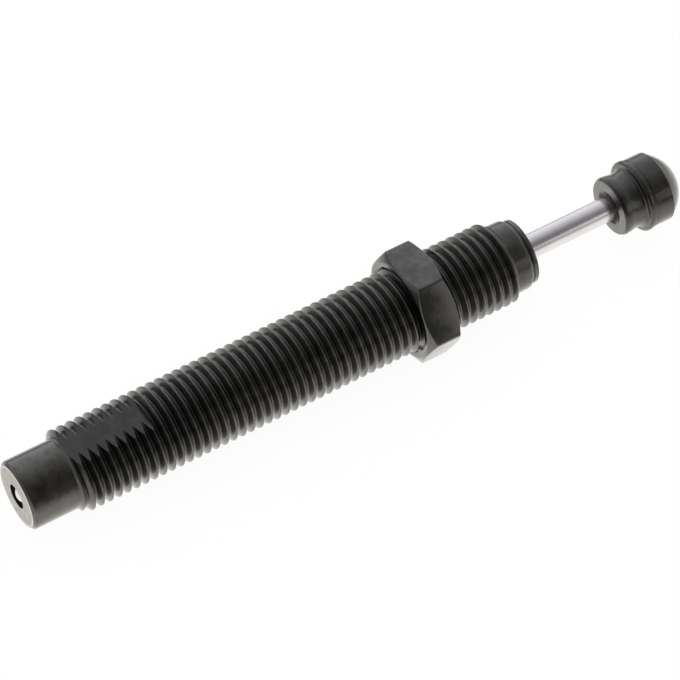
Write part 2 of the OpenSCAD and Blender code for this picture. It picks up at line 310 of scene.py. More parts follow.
def make_mesh(name, surface):
    """A closed mesh from points and quads: coincident points are welded and faces turned outwards."""
    points, faces = surface
    mesh = bpy.data.meshes.new(name)
    mesh.vertices.add(len(points))
    mesh.vertices.foreach_set("co", points.astype(np.float32).ravel())
    mesh.loops.add(faces.size)
    mesh.loops.foreach_set("vertex_index", faces.astype(np.int32).ravel())
    mesh.polygons.add(len(faces))
    mesh.polygons.foreach_set("loop_start", np.arange(0, faces.size, 4, dtype=np.int32))
    mesh.update(calc_edges=True)
    mesh.validate()
    work = bmesh.new()
    work.from_mesh(mesh)
    bmesh.ops.remove_doubles(work, verts=work.verts, dist=WELD)
    bmesh.ops.dissolve_degenerate(work, edges=work.edges, dist=WELD)
    bmesh.ops.recalc_face_normals(work, faces=work.faces)
    work.to_mesh(mesh)
    work.free()
    return mesh


def finish_mesh(mesh, material, flat_towards=None):
    """Smooth shading with sharp edges kept, and one material.

    Faces that look along flat_towards or against it are milled, and are shaded flat.
    """
    mesh.shade_smooth()
    mesh.set_sharp_from_angle(angle=SHARP)
    if flat_towards is not None:
        normals = np.empty(len(mesh.polygons) * 3, np.float32)
        mesh.polygons.foreach_get("normal", normals)
        milled = np.abs(normals.reshape(-1, 3) @ np.array(flat_towards, np.float32)) > MILLED_COSINE
        if "sharp_face" not in mesh.attributes:
            mesh.attributes.new("sharp_face", "BOOLEAN", "FACE")
        mesh.attributes["sharp_face"].data.foreach_set("value", milled)
    mesh.materials.clear()
    mesh.materials.append(material)


def place(name, mesh, body, replaced):
    """Puts a mesh in the scene as a piece that rides on a body and stands for a CAD node."""
    piece = bpy.data.objects.new(name, mesh)
    bpy.context.scene.collection.objects.link(piece)
    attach(piece, body)
    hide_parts(replaced)
    return piece


def outline_mm(corners, cuts, closed=True):
    """An outline from its corners, in millimetres, each rounded by its cut."""
    return round_corners(np.array(corners) * MM, np.array(cuts) * MM, closed=closed)


def turned_piece(name, profile, cuts, material, body):
    """A turned piece from the corners and cuts of its profile, in millimetres."""
    mesh = make_mesh(name, turned(outline_mm(profile, cuts)))
    finish_mesh(mesh, material)
    place(name + "_shell", mesh, body, name)


# Materials


def add_node(tree, kind, inputs=(), **settings):
    """Adds a shader node of a kind with its settings.

    Its inputs come in their order, or by name or number from a dict. One that is another node's output is
    linked, and any other is set.
    """
    node = tree.nodes.new("ShaderNode" + kind)
    for key, value in settings.items():
        setattr(node, key, value)
    for key, value in inputs.items() if isinstance(inputs, dict) else enumerate(inputs):
        if isinstance(value, bpy.types.NodeSocket):
            tree.links.new(value, node.inputs[key])
        else:
            node.inputs[key].default_value = value
    return node


def new_material(name):
    """A node material, its empty tree, and the Object coordinates that its patterns read."""
    material = bpy.data.materials.new(name)
    material.use_nodes = True
    tree = material.node_tree
    tree.nodes.clear()
    return material, tree, add_node(tree, "TexCoord").outputs["Object"]


def per_metre(size_mm):
    """The scale of a noise whose features are size_mm long."""
    return 1 / (size_mm * MM)


def axis_radius(tree, point):
    """The distance of a point from the axis: the length of its Y and Z parts."""
    across = add_node(tree, "VectorMath", (point, (0, 1, 1)), operation="MULTIPLY").outputs[0]
    return add_node(tree, "VectorMath", (across,), operation="LENGTH").outputs["Value"]


def shaded(tree, colour, pattern, darkest, lightest, spread=0.2):
    """A colour that a pattern makes uneven.

    The colour is multiplied by darkest where the pattern is spread below a half, and by lightest where it is
    spread above a half.
    """
    shade = add_node(tree, "MapRange", (pattern, 0.5 - spread, 0.5 + spread, darkest, lightest)).outputs[0]
    return add_node(tree, "VectorMath", {0: colour[:3], "Scale": shade}, operation="SCALE").outputs[0]


def marks_round_axis(tree, point, width_mm, across, detail):
    """The fine marks that turning or grinding leaves: a noise width_mm wide along the axis.

    Its scale across the axis is multiplied by across, so a mark is 1 / across times as long as it is wide.
    """
    drawn_out = add_node(tree, "Mapping", {"Vector": point, "Scale": (1.0, across, across)}).outputs[0]
    return add_node(tree, "TexNoise", {
        "Vector": drawn_out, "Scale": per_metre(width_mm), "Detail": detail}).outputs["Fac"]


def finished(material, tree, tone, gloss, relief, others, strength, depth_mm):
    """Ends a material with its shader, which takes the tone, the roughness and a bump from the relief."""
    bump = add_node(tree, "Bump", {"Strength": strength, "Distance": depth_mm * MM, "Height": relief})
    shader = add_node(tree, "BsdfPrincipled", {
        "Base Color": tone, "Roughness": gloss, "Normal": bump.outputs[0], **others})
    add_node(tree, "OutputMaterial", {"Surface": shader.outputs[0]})
    return material


def black_oxide(name, colour, roughness, dress=None):
    """Turned steel with an oiled black oxide finish.

    The oxide is a thin dark skin that keeps the shine of the steel under it, so it mirrors the room dimly and
    softly, and a film of oil over it brightens what is seen at a low angle. Oil leaves patches, and the lathe
    leaves fine rings, which are drawn coarser than the tool's feed so that they show. dress is a function of
    tree, point and tone that returns the tone with a piece's own wear on it and any light and shade painted
    on it.
    """
    patch_mm, grain_mm, ring_mm = 2.4, 0.22, 0.12
    material, tree, point = new_material(name)
    patches = add_node(tree, "TexNoise", {
        "Vector": point, "Scale": per_metre(patch_mm), "Detail": 4.0, "Roughness": 0.65}).outputs["Fac"]
    tone = shaded(tree, colour, patches, 0.76, 1.2, spread=0.1)
    if dress is not None:
        tone = dress(tree, point, tone)
    gloss = add_node(tree, "MapRange", (patches, 0.4, 0.6, roughness - 0.05, roughness + 0.06)).outputs[0]
    grain = add_node(tree, "TexNoise", {
        "Vector": point, "Scale": per_metre(grain_mm), "Detail": 2.0}).outputs["Fac"]
    rings = marks_round_axis(tree, point, ring_mm, across=0.04, detail=1.0)
    relief = add_node(tree, "Math", (rings, grain), operation="ADD").outputs[0]
    oiled_metal = {"Metallic": 1.0, "Coat Weight": 1.0, "Coat Roughness": 0.15}
    return finished(material, tree, tone, gloss, relief, oiled_metal, strength=0.2, depth_mm=0.01)


def body_wear_and_painted_light(body, bare):
    """The wear of the threaded body, with painted light in its thread, as a function for black_oxide.

    In the thread the tone falls towards the roots, for the oil that stays there and as painted shade in
    the grooves, and the crests are lighter, rubbed brighter and with a painted highlight. The rear of the
    thread carries oil from handling, which fades out in front of the flats. The milled flats and the collar
    took the oxide darker than the rest. The rear face is faced back to bare steel inside the chamfer.
    """
    crest = outer_radius("outer_body")
    thread_end = span("outer_body")[1] - COLLAR_LENGTH
    # The first two numbers darken the thread's roots, for oil and as painted shade in the grooves, and
    # lighten its crests, for rubbing and as a painted highlight.
    root_oil_and_shade_tone, crest_rub_and_highlight_tone, collar_tone = 0.6, 1.25, 0.7
    flat_change, handling_change = -0.24, -0.34
    handled_length = 14 * MM
    faced_radius = 5.2 * MM

    def dress(tree, point, tone):
        along = add_node(tree, "SeparateXYZ", (point,)).outputs["X"]
        radius = axis_radius(tree, point)

        height = add_node(tree, "VectorMath", (point, flats_direction(body)),
                          operation="DOT_PRODUCT").outputs["Value"]
        distance = add_node(tree, "Math", (height,), operation="ABSOLUTE").outputs[0]
        on_plane = add_node(tree, "Math", (distance, body.flats_across / 2 - 0.01 * MM),
                            operation="GREATER_THAN").outputs[0]
        beside_flats = add_node(tree, "Math", (along, body.flats_end), operation="LESS_THAN").outputs[0]
        on_flat = add_node(tree, "Math", (on_plane, beside_flats), operation="MULTIPLY").outputs[0]
        off_flat = add_node(tree, "Math", (1.0, on_flat), operation="SUBTRACT").outputs[0]

        past_start = add_node(tree, "Math", (along, body.thread_start + LEAD / 2),
                              operation="GREATER_THAN").outputs[0]
        before_end = add_node(tree, "Math", (along, thread_end - LEAD / 2), operation="LESS_THAN").outputs[0]
        in_thread = add_node(tree, "Math", (past_start, before_end), operation="MULTIPLY").outputs[0]
        share = add_node(tree, "Math", (in_thread, off_flat), operation="MULTIPLY").outputs[0]

        # Darker towards the roots: oil there, and painted shade in the grooves.
        root_oil_and_shade = add_node(tree, "MapRange", (radius, crest - body.depth, crest - 0.12 * MM, root_oil_and_shade_tone, 1.0))
        # Lighter at the crests: rubbed steel, and a painted highlight along them.
        crest_rub_and_highlight = add_node(tree, "MapRange", (radius, crest - 0.05 * MM, crest, 1.0, crest_rub_and_highlight_tone))
        wear_and_painted_light = add_node(tree, "Math", (root_oil_and_shade.outputs[0], crest_rub_and_highlight.outputs[0]), operation="MULTIPLY").outputs[0]
        wear_and_painted_light = add_node(tree, "Math", (wear_and_painted_light, 1.0), operation="SUBTRACT").outputs[0]
        thread_tone = add_node(tree, "Math", (share, wear_and_painted_light, 1.0), operation="MULTIPLY_ADD").outputs[0]
        handling = add_node(tree, "MapRange", (
            along, body.flats_end, body.flats_end + handled_length, handling_change, 0.0)).outputs[0]
        handled_tone = add_node(tree, "Math", (handling, in_thread, thread_tone),
                                operation="MULTIPLY_ADD").outputs[0]
        collar = add_node(tree, "MapRange", (
            along, thread_end - LEAD / 2, thread_end, 1.0, collar_tone)).outputs[0]
        turned_tone = add_node(tree, "Math", (collar, handled_tone), operation="MULTIPLY").outputs[0]
        change = add_node(tree, "Math", (on_flat, flat_change, turned_tone),
                          operation="MULTIPLY_ADD").outputs[0]
        oxide = add_node(tree, "VectorMath", {0: tone, "Scale": change}, operation="SCALE").outputs[0]

        at_face = add_node(tree, "Math", (along, 0.03 * MM), operation="LESS_THAN").outputs[0]
        in_chamfer = add_node(tree, "Math", (radius, faced_radius), operation="LESS_THAN").outputs[0]
        faced = add_node(tree, "Math", (at_face, in_chamfer), operation="MULTIPLY").outputs[0]
        return add_node(tree, "Mix", {0: faced, 6: oxide, 7: bare}, data_type="RGBA").outputs[2]

    return dress


def struck_wear_and_shade(start, end, at_start, at_end, shade_radius=0.0):
    """Wear on a struck surface, with painted shade round a hole in it, as a function for black_oxide.

    Each stroke rubs the oxide brighter. The tone is multiplied by at_start at the place start on the axis,
    and by at_end at the place end. Within the radius that the last argument gives, the tone is darkened as
    painted shade in a recess round a rod.
    """
    shade_edge = 0.3 * MM
    shade_tone = 0.12

    def dress(tree, point, tone):
        along = add_node(tree, "SeparateXYZ", (point,)).outputs["X"]
        worn_and_shaded = add_node(tree, "MapRange", (along, start, end, at_start, at_end)).outputs[0]
        if shade_radius:
            # Painted shade: darker inside the given radius.
            out_of_shade = add_node(tree, "MapRange", (
                axis_radius(tree, point), shade_radius - shade_edge, shade_radius + shade_edge, shade_tone, 1.0))
            worn_and_shaded = add_node(tree, "Math", (worn_and_shaded, out_of_shade.outputs[0]), operation="MULTIPLY").outputs[0]
        return add_node(tree, "VectorMath", {0: tone, "Scale": worn_and_shaded}, operation="SCALE").outputs[0]

    return dress


def faced_steel(name, colour, roughness, port_radius):
    """Bare steel, faced on a lathe: grey and satin, with fine rings round the axis that catch the light.

    The rings are drawn coarser than the tool's feed so that they show. The wall of the port, just inside
    port_radius, is painted dark as shade in the hole round the ball.
    """
    ring_mm, cloud_mm = 0.35, 1.2
    material, tree, point = new_material(name)
    radius = axis_radius(tree, point)
    ring_place = add_node(tree, "CombineXYZ", {"X": radius}).outputs[0]
    rings = add_node(tree, "TexNoise", {
        "Vector": ring_place, "Scale": per_metre(ring_mm), "Detail": 3.0}).outputs["Fac"]
    cloud = add_node(tree, "TexNoise", {
        "Vector": point, "Scale": per_metre(cloud_mm), "Detail": 4.0, "Roughness": 0.65}).outputs["Fac"]
    tone = shaded(tree, colour, cloud, 0.78, 1.16)
    along = add_node(tree, "SeparateXYZ", (point,)).outputs["X"]
    in_port = add_node(tree, "Math", (radius, port_radius + 0.03 * MM), operation="LESS_THAN").outputs[0]
    past_face = add_node(tree, "Math", (along, 0.04 * MM), operation="GREATER_THAN").outputs[0]
    port_wall_shade = add_node(tree, "Math", (in_port, past_face), operation="MULTIPLY").outputs[0]
    # The dark colour on the port's wall is painted shade in the hole.
    tone = add_node(tree, "Mix", {0: port_wall_shade, 6: tone, 7: linear("2b2826")}, data_type="RGBA").outputs[2]
    gloss = add_node(tree, "MapRange", (rings, 0.3, 0.7, roughness - 0.06, roughness + 0.08)).outputs[0]
    return finished(material, tree, tone, gloss, rings, {"Metallic": 1.0}, strength=0.3, depth_mm=0.01)


def ground_metal(name, colour, roughness):
    """Metal ground or drawn round its axis: bright, with hair-fine marks that run round it.

    The marks are drawn coarser than the grit that leaves them, so that they show.
    """
    mark_mm, haze_mm = 0.08, 4.0
    material, tree, point = new_material(name)
    marks = marks_round_axis(tree, point, mark_mm, across=0.03, detail=2.0)
    haze = add_node(tree, "TexNoise", {
        "Vector": point, "Scale": per_metre(haze_mm), "Detail": 2.0}).outputs["Fac"]
    tone = shaded(tree, colour, haze, 0.95, 1.03)
    gloss = add_node(tree, "MapRange", (marks, 0.3, 0.7, roughness * 0.8, roughness * 1.3)).outputs[0]
    return finished(material, tree, tone, gloss, marks, {"Metallic": 1.0}, strength=0.1, depth_mm=0.002)


def moulded(name, colour, roughness, grain_mm=0.25, relief_mm=0.01):
    """Moulded rubber or foam: dull, slightly uneven in tone, with a fine skin of dimples."""
    cloud_mm = 2.0
    material, tree, point = new_material(name)
    cloud = add_node(tree, "TexNoise", {
        "Vector": point, "Scale": per_metre(cloud_mm), "Detail": 3.0}).outputs["Fac"]
    skin = add_node(tree, "TexNoise", {
        "Vector": point, "Scale": per_metre(grain_mm), "Detail": 2.0}).outputs["Fac"]
    tone = shaded(tree, colour, cloud, 0.88, 1.12)
    gloss = add_node(tree, "MapRange", (skin, 0.3, 0.7, roughness - 0.05, roughness + 0.05)).outputs[0]
    return finished(material, tree, tone, gloss, skin, {}, strength=0.3, depth_mm=relief_mm)


# Pieces


def flats_direction(body):
    """The direction square to the wrench flats: upwards, turned about the axis by the turn of the flats."""
    return 0, -math.sin(body.flats_turn), math.cos(body.flats_turn)


def thread_radius(x, angle, body):
    """Radius of the thread at a place and an angle.

    The crest line of a right-handed thread lies at pitch (k + phase - angle / full turn) for every whole k.
    The share of a pitch that x lies past it gives the radius from one period of the section: the crest is
    flat over a sixteenth of the pitch on each side of the line, the flanks fall by 1.732 for each unit along
    the axis, and the root is flat between them. The crest's corners are rounded a little and the root's more.
    """
    crest = outer_radius("outer_body")
    share, depth = thread_section(body).T
    past = (x / body.pitch - body.phase + angle / (2 * np.pi)) % 1
    return crest - np.interp(past, share, depth)


def thread_section(body):
    """One period of the thread, as rows of the share of the pitch and the depth below the crest.

    Each flank has two more rows, near its ends, which keep its shading flat between them.
    """
    flat = 1 / 16
    depth = body.depth / body.pitch
    root = flat + body.depth / (math.sqrt(3) * body.pitch)
    corners = np.array([[0, 0], [flat, 0], [root, depth], [1 - root, depth], [1 - flat, 0], [1, 0]])
    crest_cut, root_cut = 0.035, 0.09
    cuts = [0, crest_cut, root_cut, root_cut, crest_cut, 0]
    section = round_corners(corners, cuts, steps=3, closed=False)[2:-2]
    near_ends = np.array([0.06, 0.94])[:, None]
    down = section[3] + (section[4] - section[3]) * near_ends
    up = section[9] + (section[10] - section[9]) * near_ends
    rows = np.concatenate([section[:4], down, section[4:10], up, section[10:]])
    return rows * [1, body.pitch]


def threaded_body_surface(body):
    """The body as one closed skin.

    Between the plain end and the collar the grid is wound like the thread. Column j stands at t = j / columns
    of a turn, at the angle -t, and its rows lie at pitch (phase + t + f), where f is a row of the thread's
    section. They are held between the thread's start and end, so the first and last turns narrow to a ring.
    The radius is the smaller of the thread's and of the lead cones'. A turned profile closes the skin at each
    end: the tail with the chamfered rear face, and the nose with the rolled lip, a quarter circle, and the
    gland's seat.
    """
    crest = outer_radius("outer_body")
    rear, front = span("outer_body")
    start, end = body.thread_start, front - COLLAR_LENGTH
    first = math.floor(BODY_COLUMNS * (start / body.pitch - body.phase - 1))
    last = math.ceil(BODY_COLUMNS * (end / body.pitch - body.phase))
    turn = np.arange(first, last + 1)[:, None] / BODY_COLUMNS
    x = np.clip(body.pitch * (body.phase + turn + thread_section(body)[None, :, 0]), start, end)
    angle = -2 * np.pi * (turn % 1)
    clear = crest + 0.01 * MM
    cone = np.interp(
        x, [start, start + LEAD, end - LEAD, end], [body.plain_radius, clear, clear, body.collar_radius])
    radius = np.minimum(thread_radius(x, angle, body), cone)
    wound = polar(x, radius, angle), quads(*x.shape)

    bore, chamfer = body.bore_radius, 0.5 * MM
    bore_seam = rear + 60 * MM
    tail = round_corners(np.array([
        [bore_seam, bore], [rear, bore], [rear, body.plain_radius - chamfer],
        [rear + chamfer, body.plain_radius], [start, body.plain_radius],
    ]), np.array([0, 0.04, 0.06, 0.12, 0]) * MM, closed=False)

    swing = np.linspace(0, np.pi / 2, 12)[:, None]
    drop = body.lip_radius * (1 - np.hstack([np.sin(swing), np.cos(swing)]))
    curl = np.array([front, body.collar_radius - 0.03 * MM]) - drop
    mouth, seat = bore + 0.02 * MM, bore + 0.3 * MM
    seat_start, seat_end = front - 5.2 * MM, front - 0.9 * MM
    inner = np.array([
        [front, bore + 0.05 * MM], [front - 0.04 * MM, mouth], [seat_end, mouth], [seat_end, seat],
        [seat_start, seat], [seat_start, bore], [bore_seam, bore],
    ])
    nose = np.concatenate([[[end, body.collar_radius]], curl, inner])
    tail, nose = (turned(profile, closed=False, columns=BODY_COLUMNS) for profile in (tail, nose))
    return joined(tail, wound, nose)


def cut_flats(mesh, body):
    """Mills the two wrench flats across the rear of the thread, by taking two blocks away from the mesh.

    Each block is turned about the axis by an angle a: y becomes y cos a - z sin a, and z y sin a + z cos a.
    """
    far = 20 * MM
    low = np.array([body.thread_start - 0.01 * MM, -far, body.flats_across / 2])
    high = np.array([body.flats_end, far, far])
    x, y, z = (low + (high - low) * np.indices((2, 2, 2)).reshape(3, 8).T).T
    sides = np.array([[0, 1, 3, 2], [4, 6, 7, 5], [0, 4, 5, 1], [2, 3, 7, 6], [0, 2, 6, 4], [1, 5, 7, 3]])
    blocks = [
        (np.stack([x, y * math.cos(a) - z * math.sin(a), y * math.sin(a) + z * math.cos(a)], axis=-1), sides)
        for a in (body.flats_turn, body.flats_turn + math.pi)
    ]
    cutter_mesh = make_mesh("flat_cutter", joined(*blocks))
    cutter = bpy.data.objects.new("flat_cutter", cutter_mesh)
    blank = bpy.data.objects.new("flat_blank", mesh)
    for item in (cutter, blank):
        bpy.context.scene.collection.objects.link(item)
    cut = blank.modifiers.new("flats", "BOOLEAN")
    cut.object = cutter
    cut.operation = "DIFFERENCE"
    cut.solver = "MANIFOLD"
    bpy.context.view_layer.update()
    result = bpy.data.meshes.new_from_object(blank.evaluated_get(bpy.context.evaluated_depsgraph_get()))
    for item in (cutter, blank):
        bpy.data.objects.remove(item)
    if len(result.vertices) == len(mesh.vertices):
        raise RuntimeError("The wrench flats weren't cut, because the skin of the body isn't closed")
    result.name = "outer_body"
    return result


def nut_surface(nut):
    """The lock nut as one closed skin.

    Round the axis the columns follow a hexagon with rounded corners, whose distance from the axis is h. Each
    column's section runs along the bore, its countersinks, the face, the 30 degree chamfer, which meets the
    flat at (h - face radius) tan 30 from the face, and the flat.
    """
    low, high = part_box("lock_nut")
    half_across = (high.z - low.z) / 2
    face = nut.face_share * 2 * half_across
    middle, half = (low.x + high.x) / 2, (high.x - low.x) / 2
    corner = np.arange(6) * np.pi / 3 + np.pi / 6
    corners = half_across / math.cos(math.pi / 6) * np.stack([np.sin(corner), np.cos(corner)], axis=-1)
    corner_cut = 0.3 * MM
    rounded = round_corners(corners, corner_cut, steps=5).reshape(6, 5, 2)
    along = np.linspace(0, 1, 16)[1:-1, None]
    sides = rounded[:, -1:, :] * (1 - along) + np.roll(rounded, -1, axis=0)[:, :1, :] * along
    outline = np.concatenate([rounded, sides], axis=1).reshape(-1, 2)
    h = np.linalg.norm(outline, axis=-1)
    angle = np.arctan2(outline[:, 0], outline[:, 1])
    bore, sink = nut.bore_radius, 0.5 * MM
    chamfer = (h - face) * math.tan(math.radians(30))
    places = (sink - half, -half, -half, chamfer - half, half - chamfer, half, half, half - sink)
    radii = (bore, bore + sink, face, h, h, face, bore + sink, bore)
    section = np.stack(np.broadcast_arrays(*places, *radii), axis=-1).reshape(-1, 2, 8).swapaxes(1, 2)
    cuts = nut.edge * np.array([0.2, 0.5, 0.8, 1.0, 1.0, 0.8, 0.5, 0.2])
    section = round_corners(section, cuts, steps=4)
    points = polar(middle + section[..., 0].T, section[..., 1].T, angle[None, :])
    return points, quads(section.shape[1], len(h), wrap_rows=True, wrap_columns=True)


def spring_surface(spring):
    """The return spring as one closed skin, wound right-handed.

    The wire's centre runs round a circle of the coil's radius. It moves forward by one wire diameter in the
    first and last turns and by an even pitch in between. A circle of the wire's radius is carried along it,
    and it shrinks to a point at both ends.
    """
    steps_per_turn, sides, taper = 48, 12, 0.02
    low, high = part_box("return_spring")
    coil = (high.z - low.z) / 2 - spring.wire / 2
    room = high.x - low.x - 3 * spring.wire
    total = spring.turns + 2
    turn = np.linspace(0, total, int(total * steps_per_turn) + 1)[:, None]
    forward = np.interp(
        turn,
        [0, 1, total - 1, total],
        np.cumsum([spring.wire / 2, spring.wire, room, spring.wire]),
    )
    end = np.minimum(turn, total - turn) / taper
    wire = spring.wire / 2 * np.sqrt(np.clip(end, 0, 1))
    across = 2 * np.pi * np.arange(sides)[None, :] / sides
    round_axis = np.pi / 2 - 2 * np.pi * turn
    points = polar(low.x + forward + wire * np.sin(across), coil + wire * np.cos(across), round_axis)
    return points, quads(len(turn), sides, wrap_columns=True)


class SHOCK_OT_body(bpy.types.Operator):
    """Make the threaded body with its wrench flats and rolled lip"""

    bl_idname = "shock.body"
    bl_label = "Threaded Body"

    def execute(self, context):
        body = context.scene.shock_body
        colours = context.scene.shock_colours
        wear_and_painted_light = body_wear_and_painted_light(body, colours.faced_steel)
        finish = black_oxide("oiled_black_oxide", colours.oxide, roughness=0.27, dress=wear_and_painted_light)
        mesh = cut_flats(make_mesh("outer_body", threaded_body_surface(body)), body)
        finish_mesh(mesh, finish, flat_towards=flats_direction(body))
        place("threaded_body", mesh, "housing", "outer_body")
        return {"FINISHED"}


class SHOCK_OT_nut(bpy.types.Operator):
    """Make the chamfered lock nut"""

    bl_idname = "shock.nut"
    bl_label = "Lock Nut"

    def execute(self, context):
        finish = black_oxide("nut_black_oxide", context.scene.shock_colours.nut_oxide, roughness=0.22)
        mesh = make_mesh("lock_nut", nut_surface(context.scene.shock_nut))
        finish_mesh(mesh, finish)
        place("hexagon_nut", mesh, "nut", "lock_nut")
        return {"FINISHED"}


class SHOCK_OT_rear(bpy.types.Operator):
    """Make the faced rear plug and the ball in its filling port"""

    bl_idname = "shock.rear"
    bl_label = "Rear Plug and Ball"

    def execute(self, context):
        rim, port, groove, spigot, passage = 4.7, 2.0, 3.8, 3.48, 0.75
        plug = [
            [0, port], [0, rim], [3.2, rim], [3.2, groove], [4.4, groove], [4.4, rim], [5.5, rim],
            [5.5, spigot], [6.5, spigot], [6.5, passage], [4.05, passage], [2.8, port],
        ]
        cuts = [0.06, 0.05] + [0] * 10
        bare = context.scene.shock_colours.faced_steel
        steel = faced_steel("faced_bare_steel", bare, roughness=0.4, port_radius=port * MM)
        turned_piece("rear_end_plug", plug, cuts, steel, "housing")
        low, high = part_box("fill_port_ball")
        radius, centre = (high.z - low.z) / 2, (low.x + high.x) / 2
        swing = np.linspace(0, np.pi, 49)
        arc = np.stack([centre - radius * np.cos(swing), radius * np.sin(swing)], axis=-1)
        mesh = make_mesh("fill_port_ball", turned(arc, closed=False))
        finish_mesh(mesh, ground_metal("polished_ball_steel", linear("f2f2f0"), roughness=0.07))
        place("port_ball", mesh, "housing", "fill_port_ball")
        return {"FINISHED"}


class SHOCK_OT_front(bpy.types.Operator):
    """Make the gland that the rolled lip holds"""

    bl_idname = "shock.front"
    bl_label = "Front Gland"

    def execute(self, context):
        rear, front = (x / MM for x in span("front_gland"))
        seal, seat, waist, groove, rim, hole = 3.6, 4.98, 4.7, 5.2, 5.4, 2.25
        step = rear + 4.28
        seal_end = rear + 2.6
        seam = span("outer_body")[1] / MM + 0.02
        flange = front - 0.75
        sink = 0.45
        gland = [
            [rear, seal], [rear, seat], [step, seat], [step, waist], [seam, waist], [seam, groove],
            [flange, groove], [flange, rim], [front, rim], [front, hole + sink], [front - sink, hole],
            [seal_end, hole], [seal_end, seal],
        ]
        cuts = [0, 0, 0, 0, 0, 0, 0.1, 0.1, 0.12, 0.06, 0.06, 0, 0]
        finish = black_oxide("gland_black_oxide", context.scene.shock_colours.nut_oxide, roughness=0.3)
        turned_piece("front_gland", gland, cuts, finish, "housing")
        return {"FINISHED"}


class SHOCK_OT_rod(bpy.types.Operator):
    """Make the chromed rod"""

    bl_idname = "shock.rod"
    bl_label = "Chromed Rod"

    def execute(self, context):
        rear, front = (x / MM for x in span("piston_rod"))
        shoulder = span("piston")[1] / MM
        radius = outer_radius("piston_rod") / MM
        tenon, chamfer = 1.25, 0.3
        rod = [
            [rear, 0], [rear, tenon], [shoulder, tenon], [shoulder, radius],
            [front - chamfer, radius], [front, radius - chamfer], [front, 0],
        ]
        cuts = [0, 0.1, 0, 0.1, 0.05, 0.05, 0]
        mesh = make_mesh("piston_rod", turned(outline_mm(rod, cuts, closed=False), closed=False))
        finish_mesh(mesh, ground_metal("hard_chrome", context.scene.shock_colours.chrome, roughness=0.22))
        place("chromed_rod", mesh, "plunger", "piston_rod")
        return {"FINISHED"}


class SHOCK_OT_button(bpy.types.Operator):
    """Make the strike button and its domed impact cap"""

    bl_idname = "shock.button"
    bl_label = "Strike Button"

    def execute(self, context):
        rear = span("stop_button")[0] / MM
        cap, tip = (x / MM for x in span("impact_cap"))
        lip = outer_radius("stop_button") / MM
        side = outer_radius("impact_cap") / MM
        parting = side - 0.1
        flange, neck, spigot = 4.94, 4.76, 3.0
        recess, recess_rim = 2.0, 2.9
        core = [
            [cap - 0.1, 0], [cap - 0.1, recess], [rear + 0.9, recess], [rear, recess_rim],
            [rear, flange - 0.3], [rear + 0.45, flange], [rear + 1.2, flange], [rear + 2.1, neck],
            [rear + 4.1, neck], [rear + 4.1, lip], [cap - 0.2, lip], [cap, parting],
            [cap, spigot], [cap + 2, spigot], [cap + 2, 0],
        ]
        core_cuts = [0, 0, 0, 0.06, 0.08, 0.12, 0.3, 0.4, 0.6, 0.5, 0.06, 0.03, 0, 0, 0]
        rim = [
            [cap + 2, 0], [cap + 2, spigot], [cap, spigot], [cap, parting], [cap + 0.2, parting],
            [cap + 0.3, side], [cap + 3.3, side],
        ]
        rim_cuts = [0, 0, 0, 0.03, 0.02, 0.05, 0]
        ball = 6.25
        dome_start = cap + 3.42
        swing = np.linspace(math.acos((dome_start - tip + ball) / ball), 0, 32)
        dome = np.stack([tip - ball + ball * np.cos(swing), ball * np.sin(swing)], axis=-1)
        core_outline = outline_mm(core, core_cuts, closed=False)
        rim_outline = outline_mm(rim, rim_cuts, closed=False)[:-4]
        # The rear face is rubbed brighter, and darkened round the rod as painted shade in its recess.
        stop_wear_and_shade = struck_wear_and_shade(
            (rear + 0.02) * MM, (rear + 0.06) * MM, at_start=1.9, at_end=1.0, shade_radius=recess_rim * MM)
        dome_wear = struck_wear_and_shade(
            (dome_start - 0.02) * MM, (dome_start + 0.05) * MM, at_start=1.0, at_end=1.75)
        colour = context.scene.shock_colours.button_oxide
        for name, outline, wear_and_painted_light, slot in (
            ("stop_button", core_outline, stop_wear_and_shade, "button_black_oxide"),
            ("impact_cap", np.concatenate([rim_outline, dome * MM]), dome_wear, "cap_black_oxide"),
        ):
            mesh = make_mesh(name, turned(outline, closed=False))
            finish_mesh(mesh, black_oxide(slot, colour, roughness=0.28, dress=wear_and_painted_light))
            place(name + "_shell", mesh, "plunger", name)
        return {"FINISHED"}


class SHOCK_OT_inside(bpy.types.Operator):
    """Make the return spring and finish the parts inside the body"""

    bl_idname = "shock.inside"
    bl_label = "Spring and Inner Parts"

    def execute(self, context):
        finishes = {
            "ground_steel": ground_metal("ground_tool_steel", linear("b4b4b2"), roughness=0.25),
            "bronze": ground_metal("bearing_bronze", linear("c39a62"), roughness=0.3),
            "nitrile": moulded("nitrile_rubber", linear("202022"), roughness=0.55),
            "polyurethane": moulded("polyurethane_seal", linear("4f7a5c"), roughness=0.4),
            "foam": moulded(
                "closed_cell_foam", linear("5c6068"), roughness=0.85, grain_mm=0.4, relief_mm=0.1),
        }
        slots = {part["node"]: part["material_slot"] for part in frame["record"]["subparts"]}
        for node, item in frame["nodes"].items():
            if slots[node] in finishes:
                item.data.materials.clear()
                item.data.materials.append(finishes[slots[node]])
        spring = context.scene.shock_spring
        mesh = make_mesh("return_spring", spring_surface(spring))
        finish_mesh(mesh, ground_metal("spring_wire", linear("8e9096"), roughness=0.3))
        piece = place("coil_spring", mesh, "housing", "return_spring")
        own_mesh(piece)
        return {"FINISHED"}


